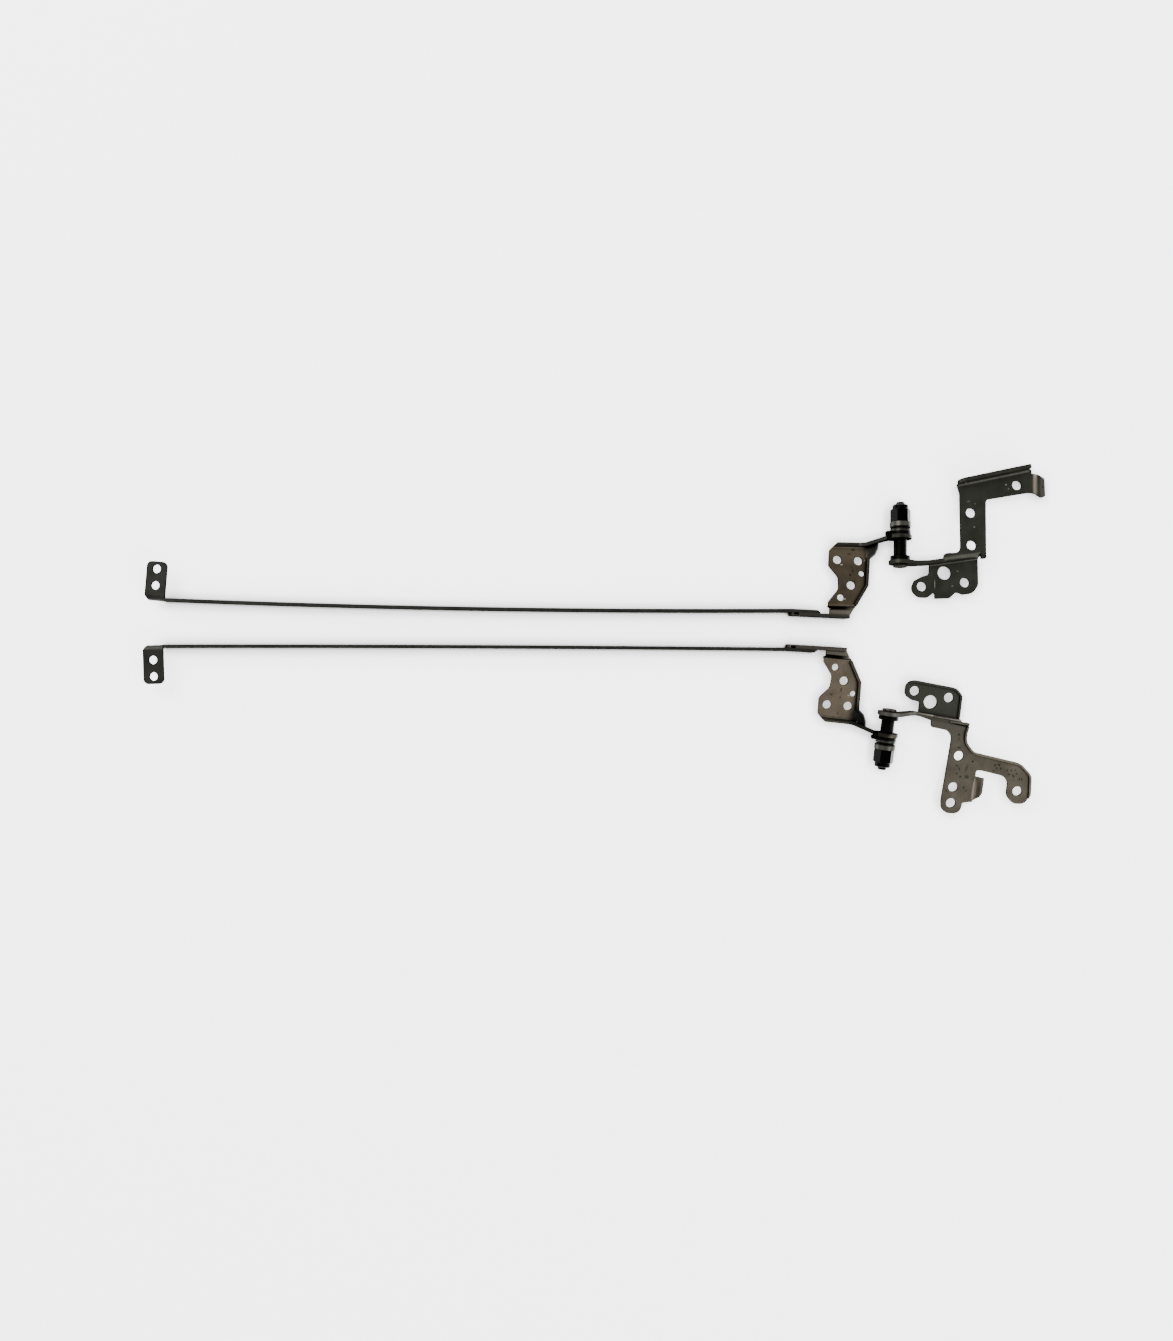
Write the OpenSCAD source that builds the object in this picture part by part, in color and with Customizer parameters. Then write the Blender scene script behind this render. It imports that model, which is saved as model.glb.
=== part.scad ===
// Pair of notebook computer hinges lying open and flat, each with its long lid rail.
// Each hinge head is drawn about its own pin: x runs to the base side, y to the nut, z up.
// Every folded piece is a bent strip profile cut to its flat outline, so all faces stay exact.

/* [Layout] */
// Distance between the two hinge pins on the table
pin_pitch = 56.6; // [54:0.1:70]

/* [Sheet metal] */
// Thickness of the stamped bracket steel
sheet_t = 1.0; // [0.8:0.1:1.1]
// Inside radius of the bends
bend_r = 0.6; // [0.4:0.1:0.7]
// Height of the raised rims over the plates
rim_h = 0.5; // [0.3:0.1:0.6]
// Width of the raised rims
rim_w = 0.6; // [0.5:0.1:0.7]

/* [Holes] */
// Screw holes of the base brackets
base_screw_d = 2.7; // [2.2:0.1:3.0]
// Locating holes of the base brackets
locating_d = 3.8; // [3.2:0.1:4.2]
// Screw holes of the lid brackets
lid_screw_d = 2.4; // [2.0:0.1:2.8]
// Small hole beside the lid bracket's edge
pilot_d = 1.6; // [1.2:0.1:1.8]
// Screw holes of the rail tabs
tab_screw_d = 2.4; // [2.0:0.1:2.8]

/* [Hinge pin] */
// Outer radius of the pivot ears
ear_r = 3.2; // [3.1:0.1:3.3]
// Diameter of the shaft between the ears
shaft_d = 3.7; // [3.4:0.1:3.8]
// Free shaft between lid ear and collar, upper hinge
shaft_gap_upper = 4.9; // [4.6:0.1:5.0]
// Free shaft between lid ear and collar, lower hinge
shaft_gap_lower = 3.7; // [3.6:0.1:3.8]
// Diameter of the collar
collar_d = 5.5; // [5.0:0.1:5.8]
// Width of the collar
collar_w = 1.3; // [1.1:0.1:1.4]
// Diameter of the riveted head
rivet_d = 4.0; // [3.6:0.1:4.4]
// Height of the riveted head
rivet_h = 0.8; // [0.6:0.1:1.0]
// Diameter of the threaded end
thread_d = 2.35; // [2.2:0.05:2.4]

/* [Friction stack] */
// Outer diameter of the washers
washer_d = 5.8; // [5.4:0.1:6.0]
// Thickness of the stop washer
stop_t = 1.0; // [0.8:0.1:1.1]
// Thickness of the friction washer
friction_t = 0.5; // [0.4:0.1:0.6]
// Thickness of one disc spring
spring_t = 0.3; // [0.2:0.05:0.35]
// Cone height of one disc spring
spring_rise = 0.2; // [0.1:0.05:0.25]
// Thickness of the pressure washer
pressure_t = 1.2; // [1.0:0.1:1.3]
// Width across the flats of the lock nut
nut_af = 5.0; // [4.8:0.1:5.2]
// Height of the nut's hexagon
nut_h = 3.8; // [3.4:0.1:4.0]
// Diameter of the nut's neck
neck_d = 4.4; // [4.0:0.1:4.6]
// Height of the nut's neck
neck_h = 1.3; // [1.0:0.1:1.5]

/* [Rails] */
// Height of the rail strip, standing on edge
rail_h = 5.0; // [4.6:0.1:5.2]
// Thickness of the rail strip
rail_t = 0.9; // [0.7:0.1:1.0]
// Length of the rail from the lid bracket's flange to its screw tab
rail_len = 176.0; // [150:0.5:190]
// Length of the rail lying against the flange
lap_len = 8.4; // [8.2:0.1:9.0]
// Sideways bow of the upper rail at mid length
bow_upper = -1.0; // [-1.5:0.1:0.5]
// Sideways bow of the lower rail at mid length
bow_lower = -0.3; // [-1.0:0.1:1.0]
// Width of the screw tab
tab_w = 5.6; // [5:0.1:6.5]
// Distance the tab reaches out from the rail
tab_reach = 10.6; // [10.2:0.1:11.5]
// Distance between the tab's two holes
tab_pitch = 4.66; // [4.4:0.02:4.8]

/* [Hidden] */

// Degrees per step of every bend and rounded corner
arc_step = 15;
// Round holes and turned parts
$fn = 48;
// Overlap of shapes that are joined or cut
eps = 0.05;

// Height of the pin axes over the table and roll of both heads, nut end low
pin_h = 3.6;
roll = 5;
// Pins in plan and turn of each head
upper_pin = [85.961, pin_pitch / 2 + 0.978];
lower_pin = [81.971, 0.968 - pin_pitch / 2];
upper_yaw = -1.5;
lower_yaw = -6.2;
// Turn of each flange against its head, and of each rail and tab against its flange
skew_upper = -1.3;
skew_lower = -2.7;
rail_turn_upper = 1.82;
rail_turn_lower = -3.22;
tab_turn_upper = -2.0;
tab_turn_lower = -5.3;
// The two rails differ a little in length, and the tab's outer hole lies this far from its end
rail_len_upper = rail_len + 0.3;
rail_len_lower = rail_len - 0.4;
tab_hole_in = 2.15;

// Turn of the base plates' wall against the head, and a point on its outer face
wall_turn_upper = 9.6;
wall_turn_lower = 3.6;
wall_upper = [8.4, -7.8];
wall_lower = [7.84, -7.7];

// Middle planes of the low plates and of the high plates
low_z = -2.7;
high_z = 0.2;
low_bottom = low_z - sheet_t / 2;
// Radius of the sheet's middle in a bend
bend_m = bend_r + sheet_t / 2;
// Outer face of the lid bracket's wall, behind the ear's outer face
wall_set = 2.05;
// Top of the lid bracket's wall; height of its edge lip over the plate and its width
lid_wall_top = -1.05;
lip_h = 1.1;
lip_w = 0.8;

// Flange of the lid bracket: left end and inner face in head coordinates
flange_x = -30.6;
flange_y_upper = -22.0;
flange_y_lower = -21.4;
flange_len = 16.9;
flange_bottom = 0.3;

// Running clearance of the shaft, clearance of the keyed washers and of the thread
running_fit = 0.05;
key_fit = 0.05;
thread_fit = 0.05;
stud_fit = 0.02;
rivet_fit = 0.02;
finger_fit = 0.1;

// Stack along the pin, from the lid ear's outer face to the nut's end
friction_y = stop_t;
spring_y = friction_y + friction_t;
pressure_y = spring_y + 2 * (spring_t + spring_rise);
nut_y = pressure_y + pressure_t;
neck_y = nut_y + nut_h;
tip_y = neck_y + neck_h + 0.8;
stud_d = 3.0;
key_d = 3.4;
key_w = 2.5;
nut_d = nut_af / cos(30);

// Unit vector, left-hand normal and turned vector
function unit(v) = v / norm(v);
function left_of(v) = [-v[1], v[0]];
function turned(v, a) = [v[0] * cos(a) - v[1] * sin(a), v[0] * sin(a) + v[1] * cos(a)];

// Arc that rounds the corner b between a and c: list of [point, left-hand normal]
function corner_arc(a, b, c, r) =
    let (
        u = unit(b - a),
        w = unit(c - b),
        s = sign(cross(u, w)),
        bend = acos(max(-1, min(1, u * w))),
        start = b - r * tan(bend / 2) * u,
        centre = start + s * r * left_of(u),
        n = max(1, ceil(bend / arc_step))
    )
    [for (i = [0:n])
        let (nrm = turned(left_of(u), s * bend * i / n))
        [centre - s * r * nrm, nrm]];

// Middle line of a bent strip, corners p rounded with the radii r
function bent_line(p, r) =
    concat(
        [[p[0], left_of(unit(p[1] - p[0]))]],
        [for (i = [1:len(p) - 2]) each corner_arc(p[i - 1], p[i], p[i + 1], r[i - 1])],
        [[p[len(p) - 1], left_of(unit(p[len(p) - 1] - p[len(p) - 2]))]]
    );

// Section of a bent strip of thickness t
function bent_strip(p, r, t) =
    let (s = bent_line(p, r), last = len(s) - 1)
    concat(
        [for (q = s) q[0] + t / 2 * q[1]],
        [for (i = [last:-1:0]) s[i][0] - t / 2 * s[i][1]]
    );

// Closed outline from corners [x, y, radius]
function outline(p) =
    let (n = len(p))
    [for (i = [0:n - 1])
        let (
            a = p[(i + n - 1) % n],
            b = p[i],
            c = p[(i + 1) % n],
            bb = [b[0], b[1]]
        )
        each b[2] > 0
            ? [for (q = corner_arc([a[0], a[1]], bb, [c[0], c[1]], b[2])) q[0]]
            : [bb]];

// Section given in y and z, swept along x
module sweep_x(x0, x1) {
    translate([x0, 0, 0])
        rotate([90, 0, 90])
            linear_extrude(x1 - x0)
                children();
}

// Section given in x and z, swept along y
module sweep_y(y0, y1) {
    translate([0, y1, 0])
        rotate([90, 0, 0])
            linear_extrude(y1 - y0)
                children();
}

// Upright column over a flat outline
module column(z0, z1) {
    translate([0, 0, z0])
        linear_extrude(z1 - z0)
            children();
}

// Round bore straight down through the sheet
module bore(p, d) {
    translate([p[0], p[1], -8])
        cylinder(d = d, h = 20);
}

// Disc about the pin from y0 to y1
module pin_disc(d, y0, y1) {
    translate([0, y1, 0])
        rotate([90, 0, 0])
            cylinder(d = d, h = y1 - y0);
}

// Round bar with two flats about the pin
module keyed_bar(d, w, y0, y1) {
    intersection() {
        pin_disc(d, y0, y1);
        translate([-d, y0 - eps, -w / 2])
            cube([2 * d, y1 - y0 + 2 * eps, w]);
    }
}

module upper_head() {
    translate([upper_pin[0], upper_pin[1], pin_h])
        rotate([0, 0, upper_yaw])
            rotate([-roll, 0, 0])
                children();
}

module lower_head() {
    translate([lower_pin[0], lower_pin[1], pin_h])
        rotate([0, 0, lower_yaw])
            rotate([roll, 0, 0])
                mirror([0, 1, 0])
                    children();
}

// Frame on the table at the flange's left end, on its inner face, z straight up
module flange_frame(y, skew) {
    translate([flange_x, y, (-pin_h + y * sin(roll)) / cos(roll)])
        rotate([roll, 0, 0])
            rotate([0, 0, skew])
                children();
}

// Raised rim along the edge of an outlined plate, z its middle plane; the line runs on the
// outline, so the strip's outer half is cut away
module edge_rim(points, z, h, w, line, radii) {
    intersection() {
        column(z, z + sheet_t / 2 + h)
            polygon(outline(points));
        column(z - 1, z + 3)
            polygon(bent_strip(line, radii, 2 * w));
    }
}

// Lid bracket

// Corners of the screw plate with its joggled end
lid_plate_pts = [
    [-17.35, -wall_set, 0], [-17.95, -2.5, 0], [-19.5, -4.1, 0.6], [-19.75, -8.6, 1.2],
    [-17.0, -11.8, 1.8], [-16.85, -15.2, 1.6], [-19.7, -18.9, 0.8], [-19.7, -20.3, 0.3],
    [-19.0, -20.5, 0.3], [-19.0, -22.9, 0], [-13.4, -22.9, 0], [-8.55, -14.3, 1.0],
    [-8.2, -6.5, 0.3], [-8.3, -4.4, 0], [-9.3, -3.3, 0], [-9.6, -wall_set, 0]
];

module lid_plate() {
    intersection() {
        sweep_x(-21, -7)
            polygon(bent_strip(
                [[-wall_set - sheet_t / 2, lid_wall_top], [-wall_set - sheet_t / 2, low_z],
                 [-19.9, low_z], [-20.7, low_z - 1.5], [-22.9, low_z - 1.5]],
                [bend_m, 0.7, 0.7], sheet_t));
        column(-6, 0)
            polygon(outline(lid_plate_pts));
    }
}

// Low lip along the plate's right edge
module lid_lip() {
    edge_rim(lid_plate_pts, low_z, lip_h, lip_w, [[-8.21, -6.2], [-8.55, -14.3], [-11.8, -20.06]], [1.0]);
}

// Arm from the wall to the pivot ear, set over by the joggle
module lid_arm() {
    intersection() {
        column(-3.6, 3.6)
            polygon(bent_strip(
                [[-12, -wall_set - sheet_t / 2], [-9.6, -wall_set - sheet_t / 2],
                 [-2.9, -sheet_t / 2], [1, -sheet_t / 2]],
                [2.5, 2.0], sheet_t));
        sweep_y(-4, 1)
            polygon([[0.6, 3.1], [-1.2, 2.95], [-11.4, lid_wall_top], [-12, lid_wall_top],
                     [-12, low_bottom + 0.6], [-11.5, low_bottom + 0.1], [-10.5, low_bottom],
                     [-1.0, low_bottom + 0.25], [0.6, low_bottom + 0.2]]);
    }
    pin_disc(2 * ear_r, -sheet_t, 0);
}

// Corners of the tilted web, in its own plane
lid_web_pts = [
    [-0.5, -2.6, 0], [-0.5, -6.8, 0], [0.7, -6.8, 0.4], [2.7, -5.2, 0.8], [3.4, -3.6, 0.7],
    [3.7, -1.2, 0], [0.6, -2.2, 0]
];

// Web that stiffens the corner between arm and plate, rimmed where the sheet turns up
module lid_web() {
    translate([-8.9, 0, low_bottom])
        rotate([0, -22, 0]) {
            column(0, sheet_t)
                polygon(outline(lid_web_pts));
            edge_rim(lid_web_pts, sheet_t / 2, rim_h, rim_w,
                     [[0.75, -6.76], [2.7, -5.2], [3.4, -3.6], [3.66, -1.5]], [0.8, 0.7]);
        }
}

// Upright flange that carries the rail
module lid_flange(y, skew) {
    flange_frame(y, skew)
        difference() {
            sweep_y(-sheet_t, 0)
                polygon(outline([[0, flange_bottom, 0.5], [flange_len - 0.6, flange_bottom, 0.5],
                                 [flange_len, 1.6, 0.4], [flange_len, rail_h, 0.7],
                                 [0, rail_h, 1.2]]));
            translate([0.9, -0.6, 2.2])
                cube([1.4, 2, 3.5]);
            rivet_holes();
        }
}

// Stations of the rivets along the flange
rivet_x = [3.7, 6.9];
rivet_z = 2.6;
rail_rivet_d = 1.6;

module rivet_holes() {
    for (x = rivet_x)
        translate([x, 2, rivet_z])
            rotate([90, 0, 0])
                cylinder(d = rail_rivet_d + 2 * rivet_fit, h = 4, $fn = 24);
}

// Notch in the arm's top edge for the stop washer's finger
finger_x = -3.6;
finger_w = 1.1;
finger_z = 1.0;
finger_h = 0.8;

module lid_bracket(y, skew) {
    difference() {
        union() {
            lid_plate();
            lid_lip();
            lid_arm();
            lid_web();
            lid_flange(y, skew);
        }
        pin_disc(shaft_d + 2 * running_fit, -3, 1);
        translate([finger_x - finger_w / 2 - finger_fit, -2.5, finger_z - finger_fit])
            cube([finger_w + 2 * finger_fit, 4, 4]);
        bore([-17.23, -6.88], lid_screw_d);
        bore([-11.30, -7.09], lid_screw_d);
        bore([-13.30, -14.10], lid_screw_d);
        bore([-10.35, -10.70], pilot_d);
        bore([-16.20, -17.70], pilot_d + 0.3);
        flange_frame(y, skew)
            rivet_holes();
    }
}

// Rail

// Middle line of the rail in plan, from the tab's side to the bracket, bowed like a parabola
function rail_y(s, len, turn, bow) =
    rail_t / 2 - s * tan(turn) + 4 * bow * (s / len) * (1 - s / len);

module rail_strip(len, turn, bow) {
    n = 20;
    mid = concat(
        [for (i = [n:-1:1])
            let (s = len * i / n)
            [-s, rail_y(s, len, turn, bow)]],
        [[0, rail_t / 2], [lap_len - 0.7, rail_t / 2]]
    );
    last = len(mid) - 1;
    column(0, rail_h)
        polygon(concat(
            [for (q = mid) q + [0, rail_t / 2]],
            [[lap_len, 0.3]], [[lap_len, 0]],
            [for (i = [last:-1:0]) mid[i] - [0, rail_t / 2]]
        ));
}

// Screw tab folded over at the rail's top edge, seen from its own lower right corner
module rail_tab() {
    difference() {
        intersection() {
            sweep_x(-tab_w, eps)
                polygon(bent_strip([[0, 0], [0, rail_h - rail_t / 2], [tab_reach, rail_h - rail_t / 2]],
                                   [rail_t / 2 + 0.5], rail_t));
            column(0, rail_h)
                polygon(outline([[eps, -rail_t, 0], [eps, tab_reach, 1.5], [-tab_w, tab_reach, 1.5],
                                 [-tab_w, 0.9, 0], [-tab_w + 1.2, -rail_t, 0]]));
        }
        sweep_y(-2, 2)
            polygon([[0.5 * eps, -1], [-tab_w / 2, 2.2], [-tab_w - 1, 2.2], [-tab_w - 1, -1]]);
        bore([-tab_w / 2, tab_reach - tab_hole_in], tab_screw_d);
        bore([-tab_w / 2, tab_reach - tab_hole_in - tab_pitch], tab_screw_d);
    }
}

module lid_rail(y, skew, len, turn, bow, tab_turn) {
    flange_frame(y, skew)
        difference() {
            union() {
                rail_strip(len, turn, bow);
                translate([-len, rail_y(len, len, turn, bow), 0])
                    rotate([0, 0, tab_turn])
                        rail_tab();
            }
            rivet_holes();
        }
}

// Two rivets, each flush with the outer faces of rail and flange
module rail_rivets(y, skew) {
    flange_frame(y, skew)
        for (x = rivet_x)
            translate([x, rail_t, rivet_z])
                rotate([90, 0, 0])
                    cylinder(d = rail_rivet_d, h = rail_t + sheet_t, $fn = 24);
}

// Base brackets

// Strip from the ear to the folded plates; its top falls from the ear to the high plate
module base_strip(mid, ear_y) {
    high_top = high_z + sheet_t / 2;
    intersection() {
        column(-4, 4)
            polygon(bent_strip(mid, [3, 3], sheet_t));
        sweep_y(-12, 0)
            polygon([[-0.4, 3.15], [2.2, 2.7], [5.2, high_top + 0.35], [7.6, high_top - 0.15],
                     [13, high_top - 0.15], [13, low_bottom + 0.9], [9.3, low_bottom + 0.2],
                     [8.0, low_bottom + 0.1], [-0.4, -3.15]]);
    }
    pin_disc(2 * ear_r, ear_y, ear_y + sheet_t);
}

// Low plate, wall and high plate in one section, wider than any base plate;
// origin is a point on the wall's outer face
module step_section(turn, origin) {
    translate([origin[0], origin[1], 0])
        rotate([0, 0, turn])
            sweep_x(-9, 44)
                polygon(bent_strip(
                    [[-13, low_z], [sheet_t / 2, low_z], [sheet_t / 2, high_z], [34, high_z]],
                    [bend_m, bend_m], sheet_t));
}

// Point on the middle plane of that wall, the distance s along it
function wall_mid(origin, turn, s) = origin + turned([s, sheet_t / 2], turn);

base_upper_pts = [
    [8.9, -6.95, 0], [8.9, -10.4, 1.0], [6.5, -11.2, 1.0], [4.6, -12.3, 1.0],
    [3.55, -14.9, 2.2], [5.6, -17.05, 2.2], [8.4, -17.1, 1.4], [10.05, -15.7, 0.2],
    [10.45, -15.9, 0.2], [10.5, -17.3, 0.2], [14.7, -17.05, 0.4], [16.3, -15.4, 0.8],
    [17.2, -15.45, 0.8], [18.4, -15.95, 1.0], [21.3, -15.5, 2.2], [22.75, -13.2, 2.0],
    [22.65, -6.0, 0.3], [24.1, -6.0, 0.5], [24.0, 10.9, 1.2], [37.0, 13.4, 0.6],
    [37.0, 20.5, 0.6], [36.0, 19.9, 0.4], [15.9, 15.1, 0], [16.7, 12.5, 1.5],
    [16.95, -4.5, 1.8], [12.9, -4.7, 0.8], [12.2, -5.2, 0.5], [12.2, -6.3, 0]
];

module base_bracket_upper_shape() {
    ear_y = -sheet_t - shaft_gap_upper - collar_w - sheet_t;
    difference() {
        union() {
            base_strip([[-1, ear_y + sheet_t / 2], [4, ear_y + sheet_t / 2],
                        wall_mid(wall_upper, wall_turn_upper, 0),
                        wall_mid(wall_upper, wall_turn_upper, 4)], ear_y);
            intersection() {
                step_section(wall_turn_upper, wall_upper);
                column(-6, 3)
                    polygon(outline(base_upper_pts));
            }
            arm_flange();
            arm_end_tab();
            high_plate_corner([22.65, -6.0], [24.1, -4.0]);
        }
        wall_end_cut(22.65);
        pin_disc(stud_d + 2 * stud_fit, -12, -5);
        bore([13.17, -9.89], locating_d);
        bore([18.94, -12.47], base_screw_d);
        bore([6.73, -13.91], base_screw_d);
        bore([19.74, 6.98], base_screw_d);
        bore([19.95, -2.30], base_screw_d);
        bore([32.83, 15.25], base_screw_d);
    }
}

// Outer corner of a high plate beside its wall, with a low rim along the edge
module high_plate_corner(a, b) {
    rim = 0.6;
    column(high_z - sheet_t / 2, high_z + sheet_t / 2)
        polygon(outline([[a[0], a[1], 0], [b[0], a[1], 0.5], [b[0], b[1], 0], [a[0], b[1], 0]]));
    column(high_z - sheet_t / 2, high_z + sheet_t / 2 + 0.35)
        polygon(outline([[a[0], a[1], 0.2], [b[0], a[1], 0.4], [b[0], a[1] + rim, 0.1],
                         [a[0], a[1] + rim, 0.2]]));
}

// Ends the wall flush with the low plate, under the corner of the high plate
module wall_end_cut(x) {
    translate([x, -8, low_bottom - 1])
        cube([6, 4.6, high_z - sheet_t / 2 - low_bottom + 1]);
}

// Stiffening flange folded up along the arm's far edge
module arm_flange() {
    translate([15.9, 16.0, 0])
        rotate([0, 0, 13.4])
            intersection() {
                sweep_x(0, 20.6)
                    polygon(bent_strip([[-3.2, high_z], [-sheet_t / 2, high_z], [-sheet_t / 2, 3.9]],
                                       [bend_m + 0.3], sheet_t));
                sweep_y(-4, 1)
                    polygon(outline([[0, -1, 0], [20.6, -1, 0], [20.6, 3.9, 0.8], [0, 3.9, 1.6]]));
            }
}

// End of the arm, stepped down
module arm_end_tab() {
    intersection() {
        sweep_y(11, 20)
            polygon(bent_strip([[35, high_z], [37.2, high_z], [38.9, high_z - 1.2], [42, high_z - 1.2]],
                               [0.9, 0.9], sheet_t));
        column(-4, 3)
            polygon(outline([[36, 18.6, 0], [39.2, 18.8, 0.3], [41.1, 17.7, 0.5], [41.3, 12.5, 0.4],
                             [40.1, 12.25, 0.4], [38.7, 13.2, 0.8], [36, 13.2, 0]]));
    }
}

base_lower_pts = [
    [8.8, -6.6, 0], [8.8, -10.5, 0.7], [6.4, -10.75, 1.0], [4.25, -12.0, 2.0],
    [4.25, -15.9, 2.2], [7.0, -16.45, 1.0], [18.5, -15.5, 2.0], [20.5, -13.6, 2.0],
    [20.55, -6.3, 0.3], [22.7, -6.3, 0.8], [22.6, -4.8, 1.0], [22.35, -3.4, 1.0],
    [22.4, -0.9, 3.0], [25.0, 1.8, 3.0], [38.4, 3.5, 3.0], [41.95, 6.5, 3.0],
    [42.45, 12.2, 2.4], [41.1, 14.9, 2.2],
    [37.8, 15.2, 2.2], [35.7, 12.9, 2.2], [35.7, 8.2, 2.4], [33.0, 7.45, 2.0],
    [27.5, 6.75, 0.7], [26.3, 6.9, 0.6], [26.4, 8.45, 0.5], [26.4, 15.9, 0],
    [23.65, 16.5, 0.4], [23.4, 19.6, 2.2], [18.2, 20.1, 2.4], [17.65, 16.5, 2.0],
    [18.3, -3.4, 2.6], [12.1, -4.0, 0.6], [11.9, -5.8, 0]
];

// Lines of the rims on the low plate's far edge and on the arm's outer edge
low_rim = [[5.2, -16.09], [7.0, -16.45], [18.5, -15.5], [20.5, -13.6], [20.55, -7.2]];
arm_rim = [
    [22.7, -5.3], [22.35, -3.4], [22.4, -0.9], [25.0, 1.8], [38.4, 3.5], [41.95, 6.5], [42.55, 13.4]
];

module base_bracket_lower_shape() {
    ear_y = -sheet_t - shaft_gap_lower - collar_w - sheet_t;
    difference() {
        union() {
            base_strip([[-1, ear_y + sheet_t / 2], [3, ear_y + sheet_t / 2],
                        wall_mid(wall_lower, wall_turn_lower, -0.8),
                        wall_mid(wall_lower, wall_turn_lower, 4.5)], ear_y);
            intersection() {
                step_section(wall_turn_lower, wall_lower);
                column(-6, 3)
                    polygon(outline(base_lower_pts));
            }
            side_tab();
            high_plate_corner([17.0, -6.3], [22.7, -5.6]);
            edge_rim(base_lower_pts, low_z, rim_h, rim_w, low_rim, [1.0, 2.0, 2.0]);
            edge_rim(base_lower_pts, high_z, rim_h, rim_w, arm_rim, [1.0, 3.0, 3.0, 3.0, 3.0]);
        }
        wall_end_cut(20.55);
        pin_disc(stud_d + 2 * stud_fit, -12, -5);
        bore([11.81, -10.78], locating_d);
        bore([6.95, -13.43], base_screw_d);
        bore([16.80, -12.56], base_screw_d);
        bore([20.93, 3.28], base_screw_d);
        bore([20.53, 12.31], base_screw_d);
        bore([20.49, 16.88], base_screw_d);
        bore([38.65, 11.47], base_screw_d);
    }
}

// Small tab beside the stem, folded up to a slope
module side_tab() {
    intersection() {
        sweep_y(8, 17)
            polygon(bent_strip([[24, high_z], [26.5, high_z], [28.0, 2.35]], [bend_m], sheet_t));
        column(-2, 5)
            polygon(outline([[25, 8.6, 0], [29, 8.6, 0], [29, 12.3, 0],
                             [26.0, 15.9, 0.5], [25, 16.1, 0]]));
    }
}

// Shaft and friction stack

module hinge_shaft(gap) {
    collar_y = -sheet_t - gap - collar_w;
    head_y = collar_y - sheet_t - rivet_h;
    rivet_head(head_y);
    pin_disc(stud_d, collar_y - sheet_t - eps, collar_y + eps);
    pin_disc(collar_d, collar_y, collar_y + collar_w);
    pin_disc(shaft_d, collar_y + collar_w - eps, stop_t);
    keyed_bar(key_d, key_w, stop_t - eps, nut_y - 0.1);
    threaded_tip();
}

// Upset head with a rounded rim
module rivet_head(head_y) {
    r = rivet_d / 2;
    translate([0, head_y, 0])
        rotate([-90, 0, 0])
            rotate_extrude()
                polygon(concat([[0, 0]],
                    [for (a = [-90:15:0]) [r - 0.25 + 0.25 * cos(a), 0.25 + 0.25 * sin(a)]],
                    [[r, rivet_h], [0, rivet_h]]));
}

// Threaded end with a domed tip
module threaded_tip() {
    r = thread_d / 2;
    translate([0, nut_y - 0.1 - eps, 0])
        rotate([-90, 0, 0])
            rotate_extrude()
                polygon(concat([[0, 0], [r, 0]],
                    [for (a = [0:15:90])
                        [r - 0.3 + 0.3 * cos(a), tip_y - nut_y + 0.1 + eps - 0.3 + 0.3 * sin(a)]],
                    [[0, tip_y - nut_y + 0.1 + eps]]));
}

// Washer held by the lid bracket: its finger lies in the notch of the arm
module stop_washer() {
    difference() {
        union() {
            pin_disc(washer_d, 0, stop_t);
            translate([finger_x - finger_w / 2, 0, -0.6])
                cube([2.4, stop_t, 0.6 + finger_z + finger_h]);
            translate([finger_x - finger_w / 2, -sheet_t - 0.1, finger_z])
                cube([finger_w, sheet_t + 0.1 + eps, finger_h]);
        }
        pin_disc(shaft_d + 2 * running_fit, -1, stop_t + 1);
    }
}

module keyed_washer(d, y0, t) {
    difference() {
        pin_disc(d, y0, y0 + t);
        keyed_bar(key_d + 2 * key_fit, key_w + 2 * key_fit, y0 - 1, y0 + t + 1);
    }
}

// Coned spring washer; the first opens to the nut, the second to the ear
module disc_spring(y0, turned_over) {
    r0 = key_d / 2 + 0.1;
    r1 = washer_d / 2 - 0.1;
    h0 = turned_over ? 0 : spring_rise;
    h1 = turned_over ? spring_rise : 0;
    translate([0, y0, 0])
        rotate([-90, 0, 0])
            rotate_extrude()
                polygon([[r0, h0], [r1, h1], [r1, h1 + spring_t], [r0, h0 + spring_t]]);
}

// Turned blank about the pin with a chamfer c at its ends, narrower by drop there
module chamfered_disc(d, y0, y1, c, drop) {
    translate([0, y0, 0])
        rotate([-90, 0, 0])
            rotate_extrude()
                polygon([[0, 0], [d / 2 - drop, 0], [d / 2, c], [d / 2, y1 - y0 - c],
                         [d / 2 - drop, y1 - y0], [0, y1 - y0]]);
}

module lock_nut() {
    difference() {
        union() {
            intersection() {
                translate([0, neck_y, 0])
                    rotate([90, 0, 0])
                        cylinder(d = nut_d, h = nut_h, $fn = 6);
                chamfered_disc(nut_d - 0.1, nut_y, neck_y, 0.25, 0.4);
            }
            chamfered_disc(neck_d, neck_y - 0.3, neck_y + neck_h, 0.25, 0.25);
        }
        pin_disc(thread_d + 2 * thread_fit, nut_y - 1, tip_y + 1);
    }
}

module lid_bracket_upper() {
    color("tan") upper_head() lid_bracket(flange_y_upper, skew_upper);
}

module lid_rail_upper() {
    color("dimgray") upper_head()
            lid_rail(flange_y_upper, skew_upper, rail_len_upper, rail_turn_upper, bow_upper,
                     tab_turn_upper);
}

module rail_rivets_upper() {
    color("silver") upper_head() rail_rivets(flange_y_upper, skew_upper);
}

module base_bracket_upper() {
    color("slategray") upper_head() base_bracket_upper_shape();
}

module hinge_shaft_upper() {
    color("black") upper_head() hinge_shaft(shaft_gap_upper);
}

module stop_washer_upper() {
    color("dimgray") upper_head() stop_washer();
}

module friction_washer_upper() {
    color("silver") upper_head() keyed_washer(washer_d - 0.2, friction_y, friction_t);
}

module disc_spring_inner_upper() {
    color("gray") upper_head() disc_spring(spring_y, false);
}

module disc_spring_outer_upper() {
    color("gray") upper_head() disc_spring(spring_y + spring_t + spring_rise, true);
}

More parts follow.
